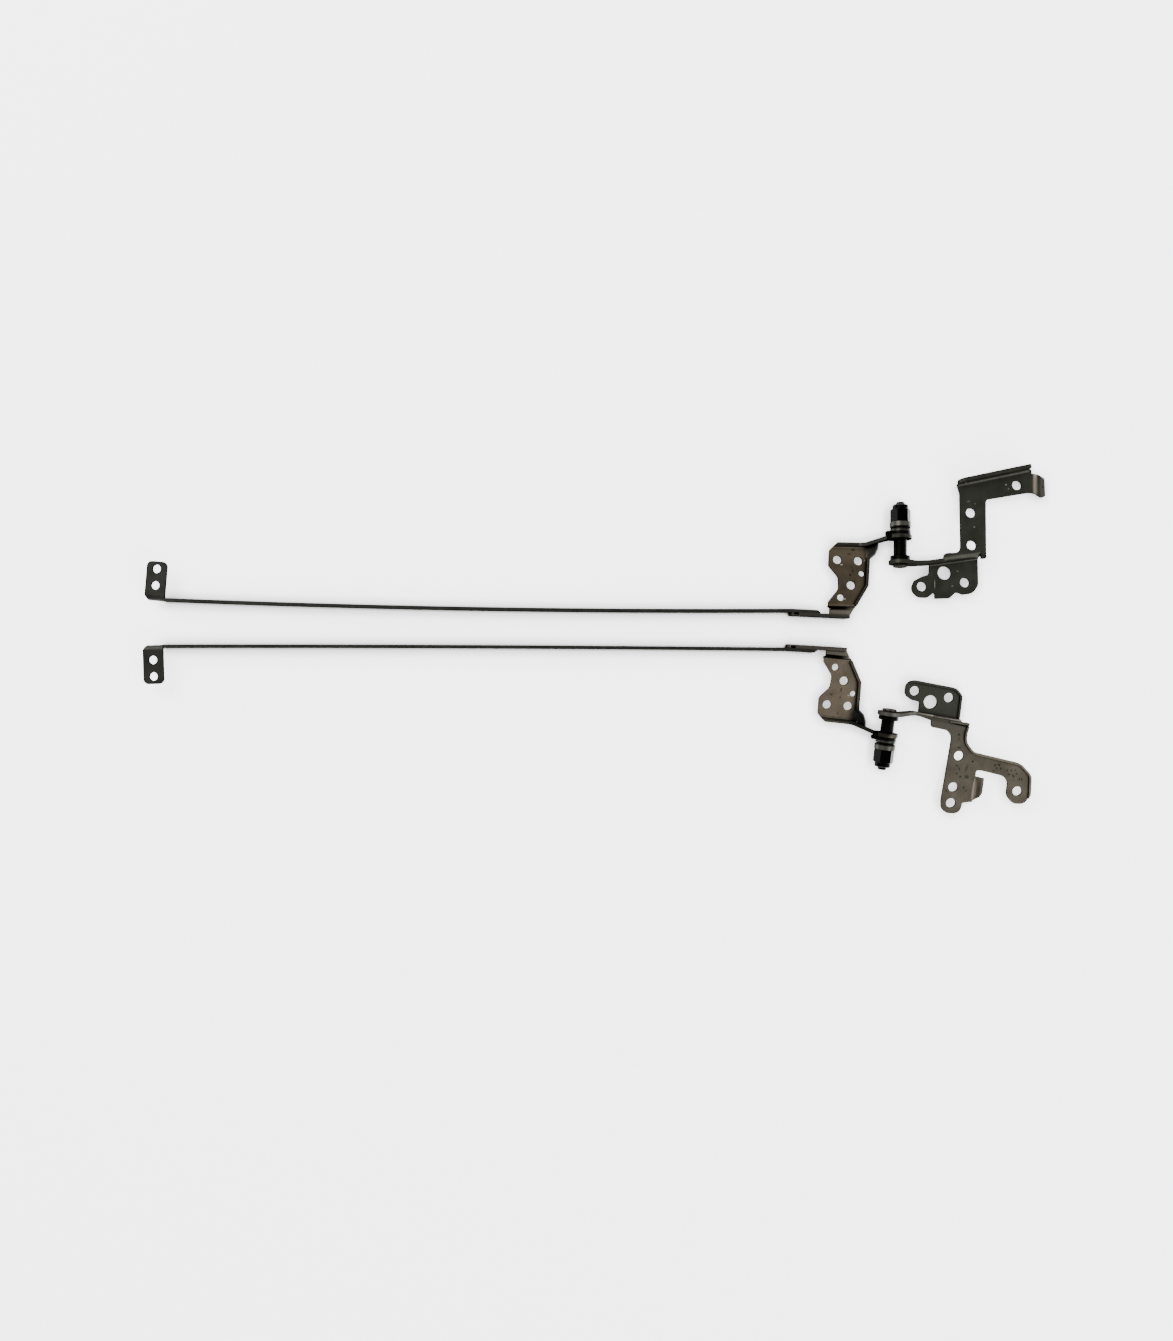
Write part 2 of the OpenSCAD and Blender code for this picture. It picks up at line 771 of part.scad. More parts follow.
module pressure_washer_upper() {
    color("darkgray") upper_head() keyed_washer(washer_d, pressure_y, pressure_t);
}

module lock_nut_upper() {
    color("black") upper_head() lock_nut();
}

module lid_bracket_lower() {
    color("tan") lower_head() lid_bracket(flange_y_lower, skew_lower);
}

module lid_rail_lower() {
    color("dimgray") lower_head()
            lid_rail(flange_y_lower, skew_lower, rail_len_lower, rail_turn_lower, bow_lower,
                     tab_turn_lower);
}

module rail_rivets_lower() {
    color("silver") lower_head() rail_rivets(flange_y_lower, skew_lower);
}

module base_bracket_lower() {
    color("burlywood") lower_head() base_bracket_lower_shape();
}

module hinge_shaft_lower() {
    color("black") lower_head() hinge_shaft(shaft_gap_lower);
}

module stop_washer_lower() {
    color("dimgray") lower_head() stop_washer();
}

module friction_washer_lower() {
    color("silver") lower_head() keyed_washer(washer_d - 0.2, friction_y, friction_t);
}

module disc_spring_inner_lower() {
    color("gray") lower_head() disc_spring(spring_y, false);
}

module disc_spring_outer_lower() {
    color("gray") lower_head() disc_spring(spring_y + spring_t + spring_rise, true);
}

module pressure_washer_lower() {
    color("darkgray") lower_head() keyed_washer(washer_d, pressure_y, pressure_t);
}

module lock_nut_lower() {
    color("black") lower_head() lock_nut();
}

lid_bracket_upper();
lid_rail_upper();
rail_rivets_upper();
base_bracket_upper();
hinge_shaft_upper();
stop_washer_upper();
friction_washer_upper();
disc_spring_inner_upper();
disc_spring_outer_upper();
pressure_washer_upper();
lock_nut_upper();
lid_bracket_lower();
lid_rail_lower();
rail_rivets_lower();
base_bracket_lower();
hinge_shaft_lower();
stop_washer_lower();
friction_washer_lower();
disc_spring_inner_lower();
disc_spring_outer_lower();
pressure_washer_lower();
lock_nut_lower();
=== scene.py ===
import math
import bpy
import numpy as np
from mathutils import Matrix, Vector


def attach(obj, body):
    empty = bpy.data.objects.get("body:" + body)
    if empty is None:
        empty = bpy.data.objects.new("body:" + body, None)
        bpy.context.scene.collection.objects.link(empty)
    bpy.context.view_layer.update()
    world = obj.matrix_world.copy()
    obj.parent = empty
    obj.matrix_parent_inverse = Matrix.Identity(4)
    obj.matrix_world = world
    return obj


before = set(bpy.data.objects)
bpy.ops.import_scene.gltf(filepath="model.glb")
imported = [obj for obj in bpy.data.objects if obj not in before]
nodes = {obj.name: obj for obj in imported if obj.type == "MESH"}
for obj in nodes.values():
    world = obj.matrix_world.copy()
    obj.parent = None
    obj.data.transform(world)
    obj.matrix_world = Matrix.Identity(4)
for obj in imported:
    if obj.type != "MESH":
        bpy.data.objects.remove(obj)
print("stage: frame loaded,", len(nodes), "nodes")


def newMaterial(name):
    # an empty material with one metal shader and an output
    mat = bpy.data.materials.new(name)
    mat.use_nodes = True
    tree = mat.node_tree
    shader = next(n for n in tree.nodes if n.type == "BSDF_PRINCIPLED")
    return mat, tree, shader


def noiseOf(tree, coord, scale, detail):
    # noise over the object's own coordinates
    noise = tree.nodes.new("ShaderNodeTexNoise")
    noise.inputs["Scale"].default_value = scale
    noise.inputs["Detail"].default_value = detail
    tree.links.new(coord.outputs["Object"], noise.inputs["Vector"])
    return noise.outputs["Fac"]


def rampOf(tree, source, stops):
    # colour ramp over a value: stops are (position, colour), a single number being a grey
    ramp = tree.nodes.new("ShaderNodeValToRGB")
    while len(ramp.color_ramp.elements) < len(stops):
        ramp.color_ramp.elements.new(0.5)
    for element, (at, colour) in zip(ramp.color_ramp.elements, stops):
        element.position = at
        element.color = (*np.broadcast_to(colour, 3), 1)
    tree.links.new(source, ramp.inputs["Fac"])
    return ramp.outputs["Color"]


def multiplied(tree, below, above):
    # one colour times another
    mix = tree.nodes.new("ShaderNodeMix")
    mix.data_type = "RGBA"
    mix.blend_type = "MULTIPLY"
    mix.inputs["Factor"].default_value = 1
    tree.links.new(below, mix.inputs[6])
    tree.links.new(above, mix.inputs[7])
    return mix.outputs[2]


def mathOf(tree, operation, first, second=None):
    # a number worked out from one socket and a socket or fixed value
    node = tree.nodes.new("ShaderNodeMath")
    node.operation = operation
    tree.links.new(first, node.inputs[0])
    if isinstance(second, bpy.types.NodeSocket):
        tree.links.new(second, node.inputs[1])
    elif second is not None:
        node.inputs[1].default_value = second
    return node.outputs["Value"]


def vectorMathOf(tree, operation, first, second=(0, 0, 0)):
    # a vector node worked out from one socket and a fixed vector
    node = tree.nodes.new("ShaderNodeVectorMath")
    node.operation = operation
    tree.links.new(first, node.inputs[0])
    node.inputs[1].default_value = second
    return node


def cornerOf(tree, distance, samples):
    # 1 in the open, toward 0 where other surfaces lie nearer than the distance
    near = tree.nodes.new("ShaderNodeAmbientOcclusion")
    near.inputs["Distance"].default_value = distance
    near.samples = samples
    return near.outputs["AO"]


# plated steel: base colour, how far the mottling goes, roughness, share of the colour left on
# upright faces as painted shade, and if any the side, level (mm over the pin), colour and amount
# of what stands above a plate
sheetLooks = {
    "lid_bracket_upper": {
        "colour": (0.070, 0.056, 0.037), "mottle": 0.24, "rough": 0.36, "steepShade": 0.12,
        "raised": ("upper", -2.22, (0.036, 0.034, 0.029), 0.85),
    },
    "lid_bracket_lower": {
        "colour": (0.122, 0.100, 0.072), "mottle": 0.20, "rough": 0.36, "steepShade": 0.10,
        "raised": ("lower", -2.22, (0.050, 0.046, 0.039), 0.85),
    },
    "base_bracket_upper": {
        "colour": (0.0320, 0.0325, 0.0262), "mottle": 0.20, "rough": 0.38, "steepShade": 0.42,
    },
    "base_bracket_lower": {
        "colour": (0.068, 0.060, 0.046), "mottle": 0.20, "rough": 0.38, "steepShade": 0.30,
        "raised": ("lower", 0.72, (0.120, 0.104, 0.080), 0.8),
    },
    "lid_rail": {
        "colour": (0.025, 0.0248, 0.0215), "mottle": 0.20, "rough": 0.42, "steepShade": 0.35,
    },
    "rail_rivets": {
        "colour": (0.020, 0.020, 0.0195), "mottle": 0.20, "rough": 0.42, "steepShade": 0.5,
    },
    "friction_washer": {
        "colour": (0.034, 0.032, 0.027), "mottle": 0.15, "rough": 0.34, "steepShade": 0.5,
    },
    "pressure_washer": {
        "colour": (0.060, 0.058, 0.050), "mottle": 0.15, "rough": 0.34, "steepShade": 0.4,
    },
    "disc_spring": {
        "colour": (0.010, 0.010, 0.009), "mottle": 0.15, "rough": 0.36, "steepShade": 0.6,
    },
    "stop_washer": {
        "colour": (0.003, 0.003, 0.0025), "mottle": 0.20, "rough": 0.36, "steepShade": 0.8,
    },
    "hinge_shaft": {
        "colour": (0.0026, 0.0026, 0.0023), "mottle": 0.25, "rough": 0.33, "steepShade": 0.8,
    },
    "lock_nut": {
        "colour": (0.0018, 0.0018, 0.0016), "mottle": 0.25, "rough": 0.32, "steepShade": 0.8,
    },
}

# pin, turn about Z, roll about X and handedness of each hinge head
heads = {
    "upper": {"pin": (0.085961, 0.029278, 0.0036), "yaw": -1.5, "roll": -5, "hand": 1},
    "lower": {"pin": (0.081971, -0.027332, 0.0036), "yaw": -6.2, "roll": 5, "hand": -1},
}


def headPoint(side, x, y, z):
    # a point given in mm about a head's pin: handed in y, rolled about X, turned about Z, and
    # moved to the pin
    head = heads[side]
    roll, yaw = math.radians(head["roll"]), math.radians(head["yaw"])
    y = y * head["hand"]
    y, z = y * math.cos(roll) - z * math.sin(roll), y * math.sin(roll) + z * math.cos(roll)
    x, y = x * math.cos(yaw) - y * math.sin(yaw), x * math.sin(yaw) + y * math.cos(yaw)
    pin = head["pin"]
    return (pin[0] + x / 1000, pin[1] + y / 1000, pin[2] + z / 1000)


def mixColour(tree, below, colour, factor):
    # one colour laid over another by a factor
    mix = tree.nodes.new("ShaderNodeMix")
    mix.data_type = "RGBA"
    tree.links.new(factor, mix.inputs["Factor"])
    tree.links.new(below, mix.inputs[6])
    mix.inputs[7].default_value = (*colour, 1)
    return mix.outputs[2]


def blotOf(tree, coord, side, place, reach, soft, amount, turn=0):
    # 1 inside an ellipsoid of the half axes reach (mm) about place, falling to 0 over soft;
    # its axes are the head's, turned about Z by turn
    head = heads[side]
    away = vectorMathOf(tree, "SUBTRACT", coord.outputs["Object"], headPoint(side, *place))
    swing = tree.nodes.new("ShaderNodeVectorRotate")
    swing.rotation_type = "Z_AXIS"
    swing.inputs["Angle"].default_value = -math.radians(head["yaw"] + head["hand"] * turn)
    tree.links.new(away.outputs[0], swing.inputs["Vector"])
    scaled = vectorMathOf(tree, "MULTIPLY", swing.outputs["Vector"], tuple(1000 / r for r in reach))
    far = vectorMathOf(tree, "LENGTH", scaled.outputs[0])
    fall = tree.nodes.new("ShaderNodeMapRange")
    fall.interpolation_type = "SMOOTHSTEP"
    fall.inputs["From Min"].default_value = 1 - soft
    fall.inputs["From Max"].default_value = 1 + soft
    fall.inputs["To Min"].default_value = amount
    fall.inputs["To Max"].default_value = 0
    tree.links.new(far.outputs["Value"], fall.inputs["Value"])
    return fall.outputs["Result"]


darkGrey = (0.034, 0.034, 0.031)
# near black: small dark marks, and painted shade in creases and corners
nearBlackMarkOrShade = (0.008, 0.008, 0.007)
armBlack = (0.013, 0.013, 0.011)
paleTan = (0.42, 0.37, 0.30)
smudge = (0.026, 0.021, 0.014)
stamp = (0.008, 0.0065, 0.004)
# marks of each piece, real stains, stamps and wear together with painted shade and painted
# highlights: side, place about the pin, half axes, softness, colour, amount, turn if any
marksAndPaintedLight = {
    "lid_bracket_upper": [
        ("upper", (-13.5, -5.6, -2), (5.5, 2.0, 3), 0.8, (0.105, 0.086, 0.060), 0.7),
        ("upper", (-4.4, -2.2, 0), (6.6, 3.2, 9), 0.14, armBlack, 0.97),
        # painted shade in the corner between the plate and the arm
        ("upper", (-7.0, -4.6, -2), (2.4, 2.8, 5), 0.40, nearBlackMarkOrShade, 0.95),
        # painted shade: dark crease line along the foot of the wall, then one at the joggle before
        # the flange
        ("upper", (-13, -2.75, -2), (6, 0.22, 2), 0.45, nearBlackMarkOrShade, 0.8),
        ("upper", (-16, -20.35, -2.5), (9, 0.30, 2), 0.45, nearBlackMarkOrShade, 0.95),
        # painted highlight: light band on the joggle's ledge
        ("upper", (-14.5, -21.9, -3), (6, 0.95, 3), 0.50, (0.150, 0.138, 0.112), 0.9),
        ("upper", (-22, -24.0, -3), (12, 1.25, 9), 0.15, darkGrey, 0.9),
        ("upper", (-12.8, -3.95, -2.2), (0.60, 0.30, 1), 0.6, smudge, 0.9),
        ("upper", (-13.9, -5.2, -2.2), (0.55, 0.35, 1), 0.7, smudge, 0.6),
        ("upper", (-12.9, -10.1, -2.2), (0.28, 0.40, 1), 0.6, smudge, 0.8),
        ("upper", (-13.6, -11.2, -2.2), (0.28, 0.28, 1), 0.5, nearBlackMarkOrShade, 0.9),
        ("upper", (-12.4, -12.9, -2.2), (0.25, 0.60, 1), 0.7, smudge, 0.5),
        ("upper", (-16.05, -8.3, -2.2), (0.36, 0.20, 1), 0.4, paleTan, 0.8),
        ("upper", (-15.0, -18.1, -2.2), (0.16, 0.28, 1), 0.4, paleTan, 0.95),
        ("upper", (-9.5, -6.95, -2.2), (0.24, 0.24, 1), 0.5, paleTan, 0.5),
    ],
    "lid_bracket_lower": [
        ("lower", (-4.4, -2.2, 0), (6.6, 3.2, 9), 0.14, armBlack, 0.97),
        # painted shade in the corner between the plate and the arm
        ("lower", (-7.6, -4.8, -2), (2.9, 3.2, 5), 0.40, nearBlackMarkOrShade, 0.95),
        # painted shade: dark crease line along the foot of the wall, then one at the joggle before
        # the flange
        ("lower", (-13, -2.75, -2), (6, 0.26, 2), 0.45, nearBlackMarkOrShade, 0.9),
        ("lower", (-16, -20.35, -2.5), (9, 0.30, 2), 0.45, nearBlackMarkOrShade, 0.85),
        # painted highlight: light band on the joggle's ledge
        ("lower", (-14.5, -21.9, -3), (6, 0.95, 3), 0.50, (0.135, 0.122, 0.102), 0.8),
        ("lower", (-22, -24.0, -3), (12, 1.1, 9), 0.15, darkGrey, 0.9),
        ("lower", (-13.8, -11.5, -2.2), (0.20, 0.65, 1), 0.5, nearBlackMarkOrShade, 0.7),
        ("lower", (-13.8, -9.3, -2.2), (0.18, 0.50, 1), 0.5, nearBlackMarkOrShade, 0.6),
        ("lower", (-16.4, -9.9, -2.2), (0.36, 0.28, 1), 0.6, smudge, 0.7),
        ("lower", (-13.9, -4.7, -2.2), (0.22, 0.30, 1), 0.6, smudge, 0.8),
        ("lower", (-15.2, -3.6, -2.2), (0.45, 0.18, 1), 0.6, smudge, 0.5),
        ("lower", (-11.5, -10.1, -2.2), (0.32, 0.16, 1), 0.5, paleTan, 0.8),
        ("lower", (-8.3, -2.9, -2), (0.18, 0.18, 2), 0.4, paleTan, 0.8),
    ],
    "hinge_shaft": [
        ("upper", (0, -8.9, 0), (3, 0.9, 4), 0.3, (0.030, 0.028, 0.022), 0.9),
        ("lower", (0, -7.5, 0), (3, 1.0, 4), 0.3, (0.050, 0.047, 0.040), 0.9),
    ],
    "base_bracket_upper": [
        ("upper", (18.2, 15.6, 0.7), (0.20, 0.24, 1), 0.5, paleTan, 0.7),
        ("upper", (29.7, 15.3, 0.7), (0.24, 0.18, 1), 0.5, paleTan, 0.6),
        ("upper", (30.4, 14.1, 0.7), (0.16, 0.20, 1), 0.5, paleTan, 0.4),
        ("upper", (20.7, 2.9, 0.7), (0.24, 0.15, 1), 0.5, paleTan, 0.5, 20),
        ("upper", (19.1, 10.2, 0.7), (0.45, 0.13, 1), 0.6, paleTan, 0.28, 15),
        ("upper", (21.0, 9.6, 0.7), (0.24, 0.13, 1), 0.6, paleTan, 0.35, -25),
        ("upper", (10.4, -13.2, -2.2), (0.13, 1.1, 1), 0.6, paleTan, 0.5),
        ("upper", (15.4, -13.6, -2.2), (0.28, 0.17, 1), 0.6, paleTan, 0.35, 30),
        ("upper", (16.9, -9.3, -2.2), (0.35, 0.16, 1), 0.6, paleTan, 0.25, -20),
        # painted highlight on the end tab's sloped face
        ("upper", (38.2, 15.6, 0), (0.85, 6, 3), 0.45, (0.160, 0.135, 0.104), 0.85),
        ("upper", (41.0, 15.3, 0), (1.2, 6, 3), 0.30, (0.085, 0.080, 0.068), 0.8),
        ("upper", (40.6, 15.3, 0), (0.16, 0.45, 3), 0.5, nearBlackMarkOrShade, 0.8),
    ],
    "base_bracket_lower": [
        ("lower", (12.5, -12.5, 0), (13, 6.4, 9), 0.20, (0.036, 0.037, 0.031), 0.95),
        ("lower", (19, -3.6, 0), (9, 3.4, 9), 0.6, (0.064, 0.060, 0.050), 0.8),
        ("lower", (0, -6.6, 0), (10, 1.6, 9), 0.2, (0.060, 0.060, 0.053), 0.9),
        # side tab: darker face (this line), and a painted highlight along its fold (next line)
        ("lower", (28.0, 12.2, 0), (1.30, 4.6, 3), 0.25, (0.030, 0.026, 0.021), 0.9),
        ("lower", (26.4, 12.4, 0), (0.50, 4.0, 2), 0.40, (0.300, 0.258, 0.210), 1.0),
        ("lower", (20.1, -2.75, 0.7), (0.28, 0.30, 1), 0.5, stamp, 0.85),
        ("lower", (20.3, -1.5, 0.7), (0.20, 0.50, 1), 0.5, stamp, 0.45),
        ("lower", (20.6, 0.85, 0.7), (0.55, 0.18, 1), 0.5, stamp, 0.85),
        ("lower", (20.7, 6.1, 0.7), (0.50, 0.20, 1), 0.6, stamp, 0.75, 25),
        ("lower", (21.5, 7.0, 0.7), (0.20, 0.38, 1), 0.6, stamp, 0.75, -20),
        ("lower", (21.0, 8.3, 0.7), (0.20, 0.38, 1), 0.6, stamp, 0.75, 20),
        ("lower", (22.1, 9.1, 0.7), (0.38, 0.20, 1), 0.6, stamp, 0.75, -30),
        ("lower", (23.5, 6.6, 0.7), (0.35, 0.95, 1), 0.7, (0.028, 0.032, 0.018), 0.75, 10),
        ("lower", (23.9, 8.95, 0.7), (0.55, 0.50, 1), 0.6, (0.022, 0.026, 0.013), 0.85),
        ("lower", (25.0, 4.43, 0.7), (0.28, 0.28, 1), 0.4, nearBlackMarkOrShade, 0.95),
        ("lower", (23.5, 12.1, 0.7), (0.20, 0.38, 1), 0.6, stamp, 0.8),
        ("lower", (24.2, 12.9, 0.7), (0.28, 0.20, 1), 0.6, stamp, 0.75, 30),
        ("lower", (18.7, 13.5, 0.7), (0.16, 0.50, 1), 0.6, stamp, 0.6, -30),
        ("lower", (31.4, 4.8, 0.7), (0.42, 0.20, 1), 0.6, stamp, 0.85, -35),
        ("lower", (32.5, 4.6, 0.7), (0.40, 0.22, 1), 0.6, stamp, 0.85, 20),
        ("lower", (33.1, 5.6, 0.7), (0.20, 0.34, 1), 0.6, stamp, 0.8, -15),
        ("lower", (31.9, 5.6, 0.7), (0.22, 0.26, 1), 0.6, stamp, 0.8, 30),
        ("lower", (31.2, 6.4, 0.7), (0.42, 0.16, 1), 0.6, stamp, 0.7, 10),
        ("lower", (35.0, 5.9, 0.7), (0.20, 0.36, 1), 0.6, stamp, 0.8, 25),
        ("lower", (36.1, 5.8, 0.7), (0.22, 0.28, 1), 0.6, stamp, 0.75),
        ("lower", (37.2, 5.6, 0.7), (0.30, 0.18, 1), 0.6, stamp, 0.75, -20),
        ("lower", (35.6, 7.0, 0.7), (0.36, 0.18, 1), 0.6, stamp, 0.8, -10),
        ("lower", (36.9, 7.3, 0.7), (0.36, 0.20, 1), 0.6, stamp, 0.85, 35),
        ("lower", (37.7, 6.5, 0.7), (0.18, 0.30, 1), 0.6, stamp, 0.8),
        ("lower", (38.7, 8.0, 0.7), (0.18, 0.42, 1), 0.5, stamp, 0.85),
        ("lower", (39.35, 7.9, 0.7), (0.18, 0.42, 1), 0.5, stamp, 0.8),
        # painted highlight along the wall's top bend, then a painted shade line below it
        ("lower", (14.05, -7.1, 0), (5.8, 0.24, 3), 0.6, (0.260, 0.235, 0.195), 0.85, 4.0),
        ("lower", (20.1, -5.4, 0), (2.8, 0.26, 3), 0.5, nearBlackMarkOrShade, 0.95, 6.6),
    ],
}


def heightOf(tree, coord, side):
    # height in mm over the pin axis, square to the head's plates: (point - pin) . up
    pin = np.array(headPoint(side, 0, 0, 0))
    up = (np.array(headPoint(side, 0, 0, 1)) - pin) * 1e6
    dot = vectorMathOf(tree, "DOT_PRODUCT", coord.outputs["Object"], tuple(up))
    return mathOf(tree, "SUBTRACT", dot.outputs["Value"], float(pin @ up))


# what all the plating and painted shade share: noise scales (per metre) and details, the step
# beside a raised level (mm), ramps of the pale marks, the upright faces' painted shade, their
# sheen, the inner corners' painted shade and the grain, the corners' reach (m), the spread of the
# roughness, and the grain's relief (m)
platingAndShade = {
    "mottle": (240, 4),
    "grain": (3200, 2),
    "worn": (4200, 1),
    "step": 0.27,
    "wornStops": [(0.34, 0.55), (0.48, 1.0)],
    "sheenStops": [(0.15, 0.0), (0.55, 1.0)],
    "steepShadeFrom": 0.15,
    "steepShadeTo": 0.80,
    "cornerShadeStops": [(0.50, 0.06), (0.86, 1.0)],
    "cornerReach": 0.0010,
    "cornerSamples": 6,
    "grainStops": [(0.25, 0.86), (0.75, 1.0)],
    "smoother": 0.05,
    "rougher": 0.10,
    "reliefStrength": 0.12,
    "relief": 0.00004,
}


def plateMaterial(name, look, ownMarksAndPaintedLight):
    # base colour times a soft mottling and a fine grain, then the piece's own marks, painted shade
    # and painted highlights among them, the pale ones broken up; upright faces are matt and their
    # colour darkened as painted shade, and inner corners darkened by ambient occlusion as painted
    # shade
    mat, tree, shader = newMaterial(name)
    coord = tree.nodes.new("ShaderNodeTexCoord")
    fine = noiseOf(tree, coord, *platingAndShade["grain"])
    base = np.array(look["colour"])
    spread = look["mottle"]
    colour = rampOf(tree, noiseOf(tree, coord, *platingAndShade["mottle"]),
                    [(0.32, base * (1 - spread)), (0.68, base * (1 + spread))])
    if "raised" in look:
        side, level, tint, amount = look["raised"]
        step = tree.nodes.new("ShaderNodeMapRange")
        step.inputs["From Min"].default_value = level
        step.inputs["From Max"].default_value = level + platingAndShade["step"]
        step.inputs["To Max"].default_value = amount
        tree.links.new(heightOf(tree, coord, side), step.inputs["Value"])
        colour = mixColour(tree, colour, tint, step.outputs["Result"])
    worn = rampOf(tree, noiseOf(tree, coord, *platingAndShade["worn"]), platingAndShade["wornStops"])
    for side, place, reach, soft, tint, amount, *turn in ownMarksAndPaintedLight:
        factor = blotOf(tree, coord, side, place, reach, soft, amount, *turn)
        if tint is paleTan:
            factor = mathOf(tree, "MULTIPLY", factor, worn)
        colour = mixColour(tree, colour, tint, factor)
    split = tree.nodes.new("ShaderNodeSeparateXYZ")
    tree.links.new(coord.outputs["Normal"], split.inputs["Vector"])
    level = mathOf(tree, "ABSOLUTE", split.outputs["Z"])
    tree.links.new(rampOf(tree, level, platingAndShade["sheenStops"]), shader.inputs["Metallic"])
    shader.inputs["Specular IOR Level"].default_value = 0.0
    # painted shade: colour darkened on upright faces by the height of their normal
    steepShadeRamp = rampOf(tree, level, [(platingAndShade["steepShadeFrom"], look["steepShade"]), (platingAndShade["steepShadeTo"], 1.0)])
    # painted shade: colour darkened in inner corners by ambient occlusion
    corner = cornerOf(tree, platingAndShade["cornerReach"], platingAndShade["cornerSamples"])
    cornerShade = rampOf(tree, corner, platingAndShade["cornerShadeStops"])
    grain = rampOf(tree, fine, platingAndShade["grainStops"])
    for share in (steepShadeRamp, cornerShade, grain):
        colour = multiplied(tree, colour, share)
    tree.links.new(colour, shader.inputs["Base Color"])
    rough = tree.nodes.new("ShaderNodeMapRange")
    rough.inputs["To Min"].default_value = look["rough"] - platingAndShade["smoother"]
    rough.inputs["To Max"].default_value = look["rough"] + platingAndShade["rougher"]
    tree.links.new(fine, rough.inputs["Value"])
    tree.links.new(rough.outputs["Result"], shader.inputs["Roughness"])
    bump = tree.nodes.new("ShaderNodeBump")
    bump.inputs["Strength"].default_value = platingAndShade["reliefStrength"]
    bump.inputs["Distance"].default_value = platingAndShade["relief"]
    tree.links.new(fine, bump.inputs["Height"])
    tree.links.new(bump.outputs["Normal"], shader.inputs["Normal"])
    return mat


# rounding of the edges (m): sheet parts, turned parts, and the least angle that is rounded
edges = {"sheet": 0.00013, "turned": 0.00008, "segments": 2, "angle": 38}

lookMaterials = {
    kind: plateMaterial(kind, look, marksAndPaintedLight.get(kind, [])) for kind, look in sheetLooks.items()
}
for name, obj in nodes.items():
    material = next(mat for kind, mat in lookMaterials.items() if name.startswith(kind))
    obj.data.materials.clear()
    obj.data.materials.append(material)
    bevel = obj.modifiers.new("soft edges", "BEVEL")
    bevel.width = edges["sheet" if "bracket" in name or "rail" in name else "turned"]
    bevel.segments = edges["segments"]
    bevel.limit_method = "ANGLE"
    bevel.angle_limit = math.radians(edges["angle"])
print("stage: materials on", len(nodes), "nodes")

# fine thread on the bare tips: lengths in mm about the pin, and the mesh's points around and along
thread = {
    "from": 8.5, "to": 9.32, "core": 1.165, "crest": 1.222, "pitch": 0.40, "fade": 0.12,
    "around": 96, "along": 48,
}


def threadMesh(side):
    # radius = core + (crest - core) * a triangle wave of height / pitch - angle, fading out at
    # both ends
    around, along = thread["around"], thread["along"]
    angle, height = np.meshgrid(np.linspace(0, 2 * np.pi, around, endpoint=False),
                                np.linspace(thread["from"], thread["to"], along))
    turn = height / thread["pitch"] - angle / (2 * np.pi)
    wave = 1 - np.abs(2 * (turn % 1) - 1)
    toEnd = np.minimum(height - thread["from"], thread["to"] - height)
    fade = np.clip(toEnd / thread["fade"], 0, 1)
    radius = thread["core"] + (thread["crest"] - thread["core"]) * wave * fade
    points = headPoint(side, radius * np.cos(angle), height, radius * np.sin(angle))
    corners = np.stack(points, axis=-1).reshape(-1, 3)
    row, col = np.meshgrid(np.arange(along - 1), np.arange(around), indexing="ij")
    first, right = row * around + col, row * around + (col + 1) % around
    quads = np.stack([first, right, right + around, first + around], axis=-1).reshape(-1, 4)
    mesh = bpy.data.meshes.new("thread_" + side)
    mesh.from_pydata(corners, [], quads)
    mesh.polygons.foreach_set("use_smooth", np.ones(len(quads), dtype=bool))
    obj = bpy.data.objects.new("thread_" + side, mesh)
    bpy.context.scene.collection.objects.link(obj)
    mesh.materials.append(lookMaterials["hinge_shaft"])
    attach(obj, "base_" + side)
    return obj


threads = [threadMesh(side) for side in heads]
print("stage: threads", [len(obj.data.polygons) for obj in threads])

# table top: plain pale surface just under the pair (m), glowing evenly. A painted contact shadow
# dims its
# glow and colour close to the metal: widely and a little, narrowly and strongly where the metal
# stands on it
tableTop = {
    "size": 6,
    "drop": 0.00002,
    "rough": 0.9,
    "samples": 4,
    "wideShadow": (0.003, [(0.40, 0.7), (0.85, 1.7), (0.98, 2.8)]),
    "narrowShadow": (0.0008, [(0.50, 0.10), (0.92, 1.0)]),
}
bpy.ops.mesh.primitive_plane_add(size=tableTop["size"], location=(0, 0, -tableTop["drop"]))
table = bpy.context.object
table.name = "table"
tableMat, tableTree, tableShader = newMaterial("table")
tableShader.inputs["Roughness"].default_value = tableTop["rough"]
tableShader.inputs["Emission Strength"].default_value = 1.0
# painted contact shadow: ambient occlusion ramps that darken the table's colour and glow near the
# metal
wideShadow, narrowShadow = [
    rampOf(tableTree, cornerOf(tableTree, reach, tableTop["samples"]), stops)
    for reach, stops in (tableTop["wideShadow"], tableTop["narrowShadow"])
]
tableTree.links.new(narrowShadow, tableShader.inputs["Base Color"])
tableTree.links.new(multiplied(tableTree, wideShadow, narrowShadow), tableShader.inputs["Emission Color"])
table.data.materials.append(tableMat)

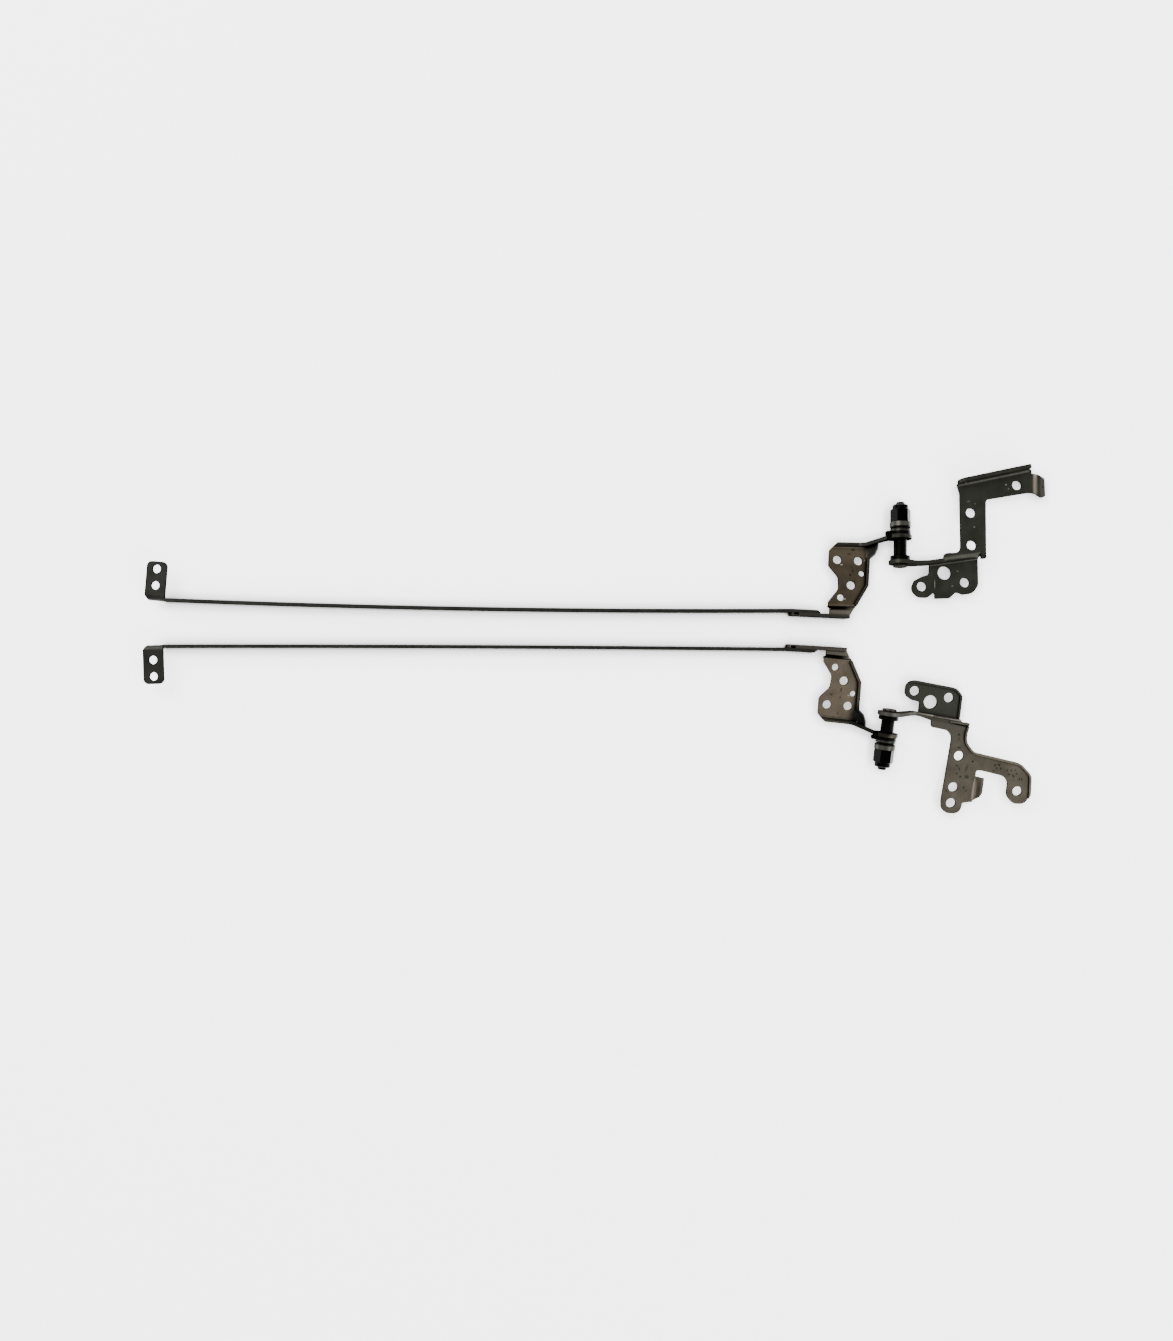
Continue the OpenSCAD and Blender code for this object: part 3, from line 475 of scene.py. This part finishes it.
# lamps: place, aim (m), side (m) and power (W)
lamps = {
    "key": ((-0.45, 0.55, 0.65), (0.03, 0, 0), 0.5, 9),
    "fill": ((0.6, -0.5, 0.55), (0.03, 0, 0), 0.6, 5),
}


def areaLight(name, place, aim, size, power):
    # a soft square light that looks from its place to the aim
    data = bpy.data.lights.new(name, "AREA")
    data.shape = "SQUARE"
    data.size = size
    data.energy = power
    obj = bpy.data.objects.new(name, data)
    bpy.context.scene.collection.objects.link(obj)
    obj.location = place
    obj.rotation_euler = (Vector(aim) - Vector(place)).to_track_quat("-Z", "Y").to_euler()


for name, lamp in lamps.items():
    areaLight(name, *lamp)
print("stage: table and lamps")

# studio room: grey by the height of the view direction, times a gain toward the right front
room = {
    "stops": [(0.0, 0.40), (0.35, 0.70), (0.62, 1.5), (0.86, 1.2), (0.96, 0.80), (1.0, 0.70)],
    "bright": (0.70, -0.71, 0),
    "gain": [(0.70, 1.0), (0.95, 3.5)],
}
world = bpy.data.worlds.new("room")
bpy.context.scene.world = world
world.use_nodes = True
tree = world.node_tree
background = next(n for n in tree.nodes if n.type == "BACKGROUND")
direction = tree.nodes.new("ShaderNodeTexCoord").outputs["Generated"]
split = tree.nodes.new("ShaderNodeSeparateXYZ")
tree.links.new(direction, split.inputs["Vector"])
toward = vectorMathOf(tree, "DOT_PRODUCT", direction, room["bright"]).outputs["Value"]
light = multiplied(tree, rampOf(tree, split.outputs["Z"], room["stops"]),
                   rampOf(tree, toward, room["gain"]))
tree.links.new(light, background.inputs["Color"])

# camera straight above the pair, at the photo's distance (m): the sensor's width (mm) shows
# a width of 0.3349 m at the table
view = {"place": (-0.002667, -0.008794, 0.340), "sensor": 36, "shown": 334.9}
camData = bpy.data.cameras.new("camera")
camData.sensor_fit = "HORIZONTAL"
camData.sensor_width = view["sensor"]
camData.lens = view["sensor"] * 340 / view["shown"]
camera = bpy.data.objects.new("camera", camData)
bpy.context.scene.collection.objects.link(camera)
camera.location = view["place"]
bpy.context.scene.camera = camera
print("stage: room and camera")
